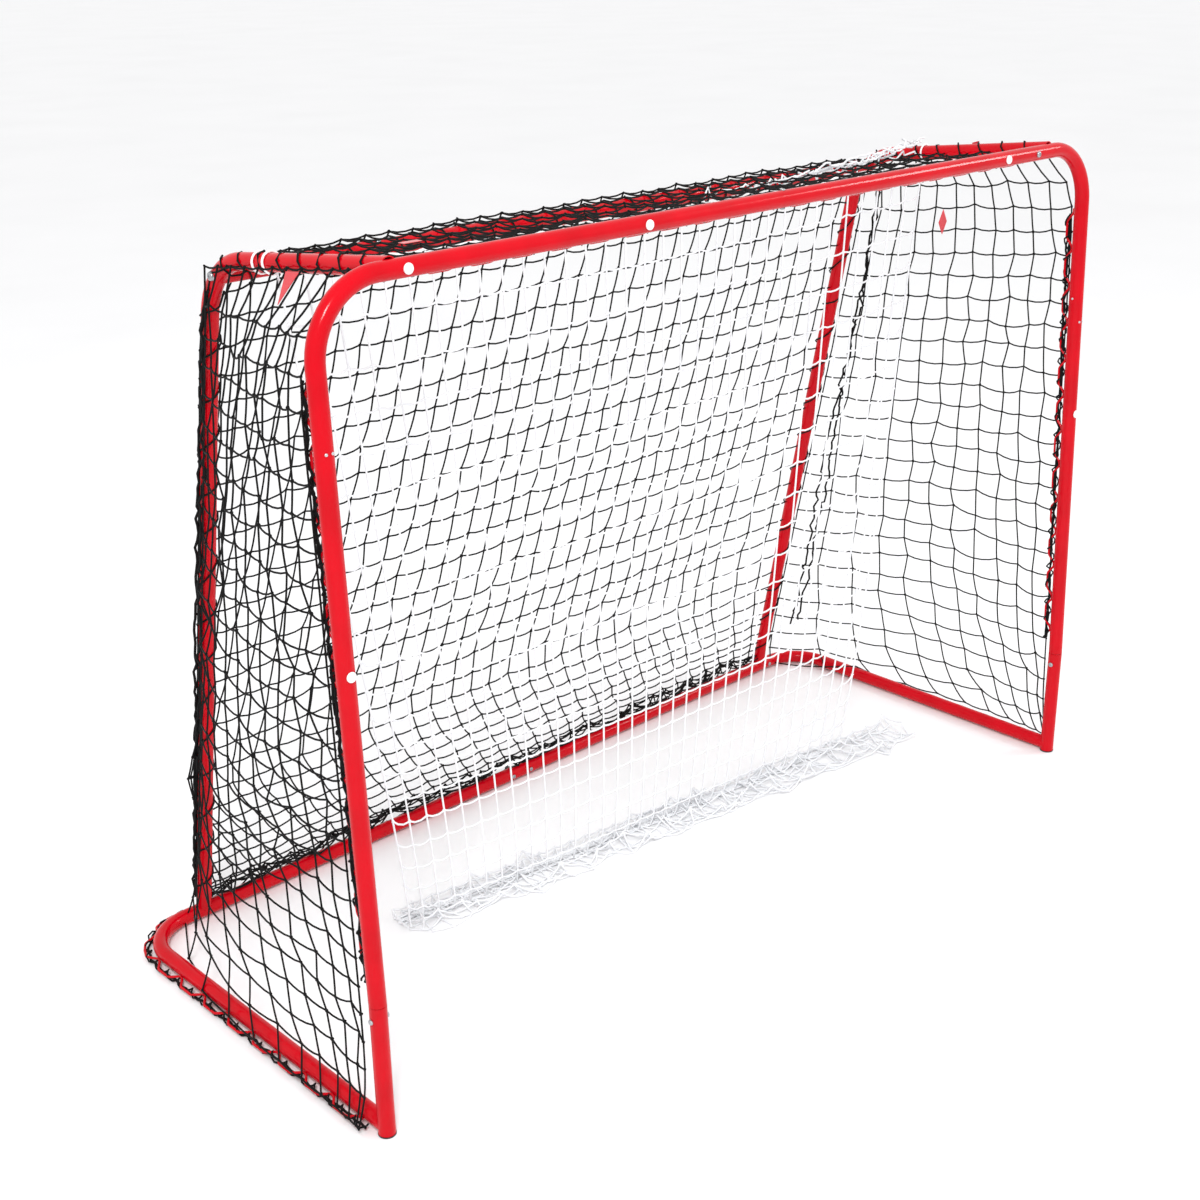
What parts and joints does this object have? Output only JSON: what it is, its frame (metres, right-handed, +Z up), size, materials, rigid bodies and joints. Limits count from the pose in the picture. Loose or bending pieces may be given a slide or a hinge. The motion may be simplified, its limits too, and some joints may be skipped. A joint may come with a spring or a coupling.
{
  "type": "floorball goal",
  "caption": "Floorball or street hockey goal of bent red steel tube with a knotted black net and a white drop net inside that hangs down to the floor.",
  "frame": {"origin": "on the floor, under the middle of the goal's overall width and depth", "axes": "+Z up, +X to the shooter's right, +Y towards the rear of the goal; the shooter stands at -Y"},
  "size_m": [1.6942, 0.7025, 1.1783],
  "materials": {
    "red_powder_coat": "gloss",
    "zinc_steel": "satin",
    "white_rivet": "gloss",
    "black_plastic": "matte",
    "black_net": "matte",
    "white_net": "matte",
    "black_cord": "matte",
    "white_cord": "matte",
    "red_ribbon": "satin"
  },
  "bodies": {
    "goal": {"front_frame_left": "red_powder_coat", "front_frame_right": "red_powder_coat", "crossbar_spigot": "zinc_steel", "foot_left": "red_powder_coat", "foot_right": "red_powder_coat", "foot_spigots": "zinc_steel", "foot_caps": "black_plastic", "base_tube_left": "red_powder_coat", "base_tube_right": "red_powder_coat", "base_spigot": "zinc_steel", "rear_upright_left": "red_powder_coat", "rear_upright_right": "red_powder_coat", "rear_top_tube": "red_powder_coat", "rear_tube_inserts": "zinc_steel", "corner_bolts": "zinc_steel", "snap_rivets": "white_rivet", "crossbar_screw": "zinc_steel", "crossbar_seam_screw": "zinc_steel", "foot_screws": "zinc_steel", "base_joint_screws": "zinc_steel", "upright_shoe_screws": "zinc_steel", "rear_tube_screws": "zinc_steel", "blind_rivets": "zinc_steel", "lacing_wire_base_left": "red_powder_coat", "lacing_wire_base_right": "red_powder_coat", "lacing_wire_post_left": "red_powder_coat", "lacing_wire_post_right": "red_powder_coat", "lacing_wire_bar_left": "red_powder_coat", "lacing_wire_bar_right": "red_powder_coat", "lacing_cord_base": "black_cord", "lacing_cord_post": "black_cord", "lacing_cord_bar": "black_cord", "lacing_cord_rear_tube": "black_cord", "net_side_left": "black_net", "net_side_right": "black_net", "net_back": "black_net", "net_back_foot": "black_net", "net_top": "black_net", "drop_net_rope": "white_cord", "drop_net_heap": "white_net", "drop_net_ties": "white_cord", "ribbon_ends": "red_ribbon"},
    "drop_net": {"drop_net": "white_net"}
  },
  "joints": [
    {"name": "drop_net_swing", "type": "hinge", "parent": "goal", "child": "drop_net", "pos_m": [0, -0.05329, 1.118], "axis": [1, 0, 0], "range_deg": [-12, 10]}
  ]
}
